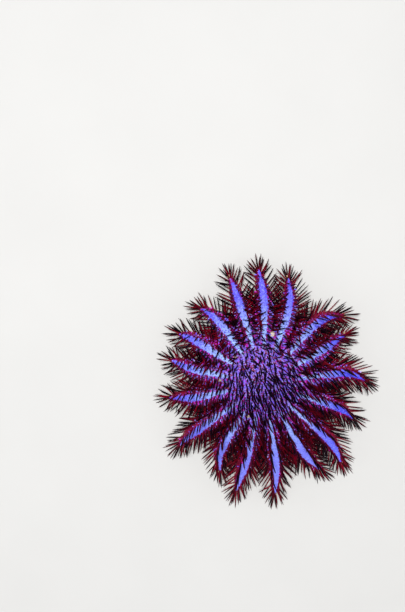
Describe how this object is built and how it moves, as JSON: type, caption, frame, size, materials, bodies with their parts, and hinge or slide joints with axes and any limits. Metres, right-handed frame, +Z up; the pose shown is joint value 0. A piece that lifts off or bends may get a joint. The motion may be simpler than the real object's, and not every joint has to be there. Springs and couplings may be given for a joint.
{
  "type": "crown of thorns starfish",
  "caption": "Still, life-size model of a many-armed starfish resting on a level floor, with long spines fanned over its disc and arms.",
  "frame": {"origin": "centre of the whole model's outline, on the level floor that the arms' soles rest on", "axes": "+Z up off the floor; seen from above, +X to the right and +Y to the top as in the picture"},
  "size_m": [0.2894, 0.3364, 0.0588],
  "materials": {
    "skin": "satin",
    "spine": "satin",
    "papula": "satin",
    "granule": "satin",
    "tube_foot": "satin",
    "madreporite": "matte"
  },
  "bodies": {
    "root": {"disc": "skin", "arm_01": "skin", "arm_02": "skin", "arm_03": "skin", "arm_04": "skin", "arm_05": "skin", "arm_06": "skin", "arm_07": "skin", "arm_08": "skin", "arm_09": "skin", "arm_10": "skin", "arm_11": "skin", "arm_12": "skin", "arm_13": "skin", "arm_14": "skin", "arm_15": "skin", "arm_16": "skin", "arm_17": "skin"}
  },
  "joints": []
}
